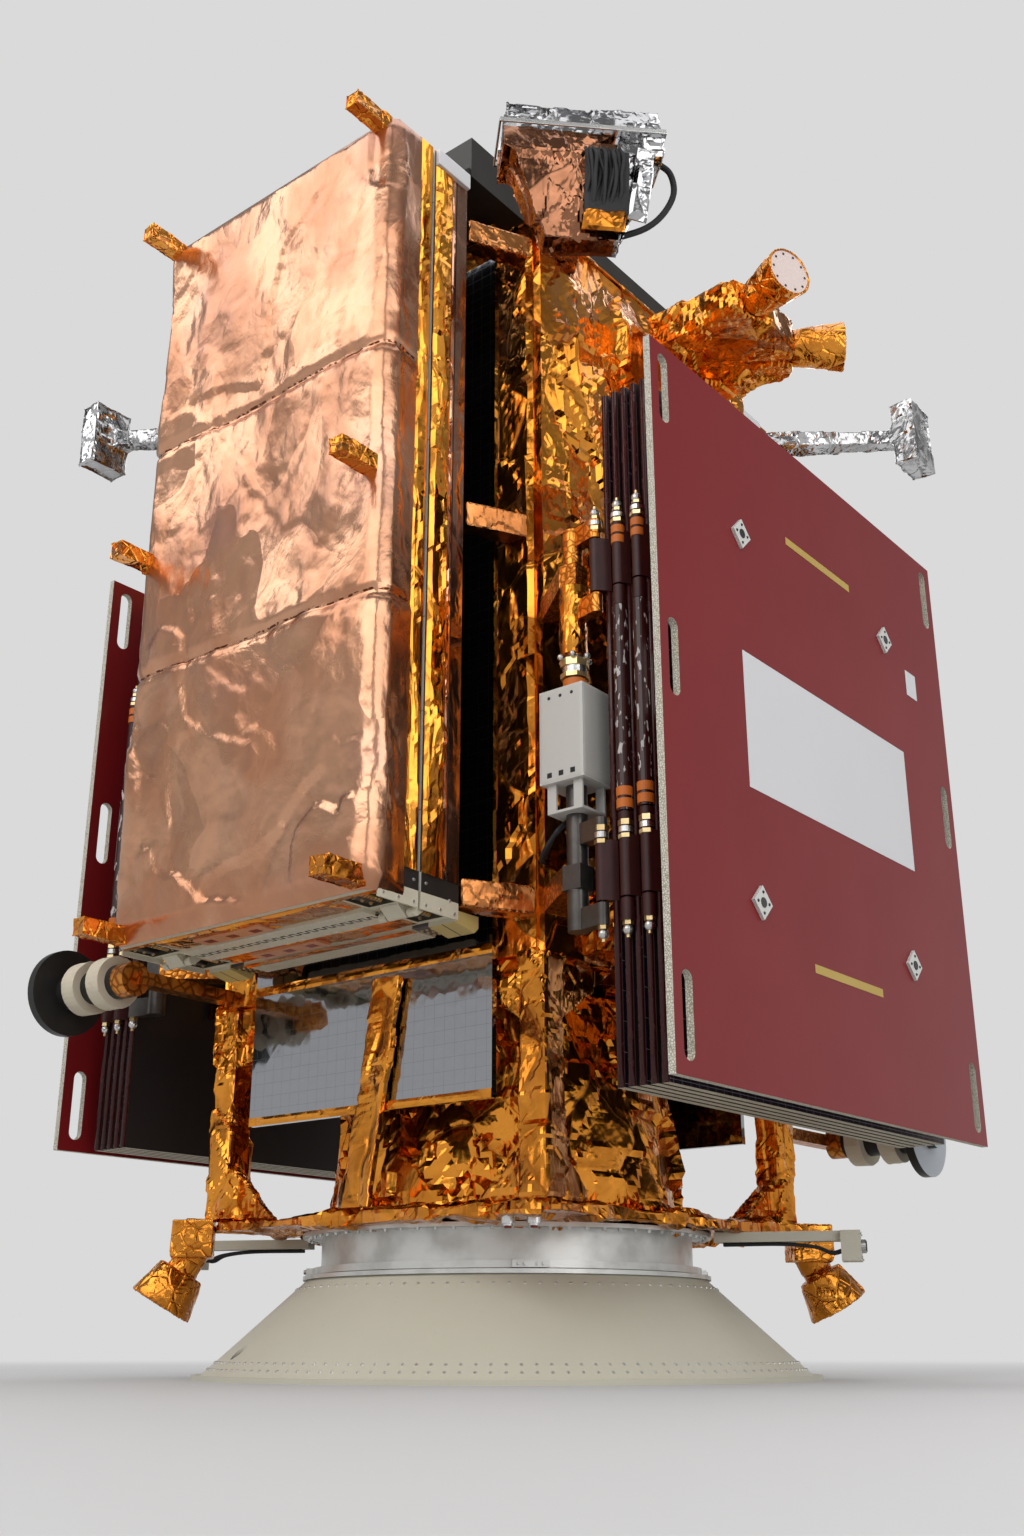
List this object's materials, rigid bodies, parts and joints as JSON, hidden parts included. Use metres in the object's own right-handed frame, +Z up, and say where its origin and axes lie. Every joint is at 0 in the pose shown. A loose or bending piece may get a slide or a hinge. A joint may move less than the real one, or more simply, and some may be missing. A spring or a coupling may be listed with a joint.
{
  "type": "radar satellite on its launch adapter",
  "caption": "Radar satellite standing on a conical launch adapter, with folded solar arrays under red covers and a folded panel antenna.",
  "frame": {"origin": "centre of the adapter flange's lower face", "axes": "+Z up, +X out of the right solar array's cover, -Y out of the front antenna wing"},
  "size_m": [2.5906, 2.824, 4],
  "materials": {
    "adapter_paint": "beige grey, satin",
    "bare_alloy": "machined, satin",
    "yellow_chromate": "yellow conversion coat",
    "gold_foil": "crinkled orange gold foil",
    "copper_blanket": "smooth pink copper foil",
    "silver_foil": "crinkled silver foil",
    "red_cover": "dark red, satin",
    "solar_cells": "black, glossy",
    "radiator_mirror": "mirror tiles",
    "black_plastic": "matt black",
    "white_paint": "white, matt"
  },
  "bodies": {
    "structure": {"adapter_flange": "adapter_paint", "adapter_cone": "adapter_paint", "interface_ring": "bare_alloy", "clamp_band": "bare_alloy", "spring_pushers": "bare_alloy", "pusher_braces": "yellow_chromate", "adapter_loom": "black_plastic", "satellite_ring": "bare_alloy", "ring_skirt": "gold_foil", "base_plate": "bare_alloy", "base_cover": "copper_blanket", "bottom_deck": "gold_foil", "thrust_cone": "gold_foil", "main_body": "gold_foil", "side_panel_r": "gold_foil", "side_panel_l": "gold_foil", "radiator_front": "radiator_mirror", "radiator_back": "radiator_mirror", "top_deck": "gold_foil", "lifting_lugs": "bare_alloy", "antenna_centre": "white_paint", "antenna_legs": "gold_foil", "hold_arms_front": "gold_foil", "hold_arms_back": "gold_foil", "outriggers_r": "gold_foil", "outriggers_l": "gold_foil", "array_root_r": "white_paint", "array_root_l": "white_paint", "corner_box": "silver_foil", "foil_box_right": "silver_foil", "foil_box_left": "silver_foil", "tracker_shelf": "gold_foil", "star_trackers": "gold_foil", "side_antennas": "black_plastic", "thrusters": "gold_foil", "connector_brackets": "adapter_paint", "corner_post_1": "gold_foil", "corner_post_2": "gold_foil", "corner_post_3": "gold_foil", "corner_post_4": "gold_foil"},
    "solar_r1": {"solar_r1": "solar_cells"},
    "solar_r2": {"solar_r2": "solar_cells"},
    "solar_r3": {"solar_r3": "solar_cells"},
    "solar_r4": {"solar_r4": "solar_cells"},
    "solar_r5": {"solar_r5": "solar_cells", "array_cover_r": "red_cover"},
    "solar_l1": {"solar_l1": "solar_cells"},
    "solar_l2": {"solar_l2": "solar_cells"},
    "solar_l3": {"solar_l3": "solar_cells"},
    "solar_l4": {"solar_l4": "solar_cells"},
    "solar_l5": {"solar_l5": "solar_cells", "array_cover_l": "red_cover"},
    "inner_front": {"antenna_inner_front": "gold_foil"},
    "outer_front": {"antenna_outer_front": "copper_blanket", "hold_posts_front": "gold_foil"},
    "inner_back": {"antenna_inner_back": "gold_foil"},
    "outer_back": {"antenna_outer_back": "copper_blanket", "hold_posts_back": "gold_foil"}
  },
  "joints": [
    {"name": "array_root_r", "type": "hinge", "parent": "structure", "child": "solar_r1", "pos_m": [0.98, -0.809, 1.7525], "axis": [0, 0, -1], "range_deg": [0, 90]},
    {"name": "array_fold_r2", "type": "hinge", "parent": "solar_r1", "child": "solar_r2", "pos_m": [1.026, 0.869, 1.7525], "axis": [0, 0, 1], "range_deg": [0, 180]},
    {"name": "array_fold_r3", "type": "hinge", "parent": "solar_r2", "child": "solar_r3", "pos_m": [1.06, -0.809, 1.7525], "axis": [0, 0, -1], "range_deg": [0, 180]},
    {"name": "array_fold_r4", "type": "hinge", "parent": "solar_r3", "child": "solar_r4", "pos_m": [1.094, 0.869, 1.7525], "axis": [0, 0, 1], "range_deg": [0, 180]},
    {"name": "array_fold_r5", "type": "hinge", "parent": "solar_r4", "child": "solar_r5", "pos_m": [1.128, -0.809, 1.7525], "axis": [0, 0, -1], "range_deg": [0, 180]},
    {"name": "array_root_l", "type": "hinge", "parent": "structure", "child": "solar_l1", "pos_m": [-0.98, -0.809, 1.7525], "axis": [0, 0, 1], "range_deg": [0, 90]},
    {"name": "array_fold_l2", "type": "hinge", "parent": "solar_l1", "child": "solar_l2", "pos_m": [-1.026, 0.869, 1.7525], "axis": [0, 0, -1], "range_deg": [0, 180]},
    {"name": "array_fold_l3", "type": "hinge", "parent": "solar_l2", "child": "solar_l3", "pos_m": [-1.06, -0.809, 1.7525], "axis": [0, 0, 1], "range_deg": [0, 180]},
    {"name": "array_fold_l4", "type": "hinge", "parent": "solar_l3", "child": "solar_l4", "pos_m": [-1.094, 0.869, 1.7525], "axis": [0, 0, -1], "range_deg": [0, 180]},
    {"name": "array_fold_l5", "type": "hinge", "parent": "solar_l4", "child": "solar_l5", "pos_m": [-1.128, -0.809, 1.7525], "axis": [0, 0, 1], "range_deg": [0, 180]},
    {"name": "wing_root_front", "type": "hinge", "parent": "structure", "child": "inner_front", "pos_m": [0, -0.88, 3.835], "axis": [-1, 0, 0], "range_deg": [0, 90]},
    {"name": "wing_fold_front", "type": "hinge", "parent": "inner_front", "child": "outer_front", "pos_m": [0, -1.05, 1.209], "axis": [1, 0, 0], "range_deg": [0, 180]},
    {"name": "wing_root_back", "type": "hinge", "parent": "structure", "child": "inner_back", "pos_m": [0, 0.88, 3.835], "axis": [1, 0, 0], "range_deg": [0, 90]},
    {"name": "wing_fold_back", "type": "hinge", "parent": "inner_back", "child": "outer_back", "pos_m": [0, 1.05, 1.209], "axis": [-1, 0, 0], "range_deg": [0, 180]}
  ],
  "couplings": [
    {"joint": "array_fold_r2", "follows": "array_root_r", "ratio": 2},
    {"joint": "array_fold_r3", "follows": "array_root_r", "ratio": 2},
    {"joint": "array_fold_r4", "follows": "array_root_r", "ratio": 2},
    {"joint": "array_fold_r5", "follows": "array_root_r", "ratio": 2},
    {"joint": "array_fold_l2", "follows": "array_root_l", "ratio": 2},
    {"joint": "array_fold_l3", "follows": "array_root_l", "ratio": 2},
    {"joint": "array_fold_l4", "follows": "array_root_l", "ratio": 2},
    {"joint": "array_fold_l5", "follows": "array_root_l", "ratio": 2},
    {"joint": "wing_fold_front", "follows": "wing_root_front", "ratio": 2},
    {"joint": "wing_fold_back", "follows": "wing_root_back", "ratio": 2}
  ]
}
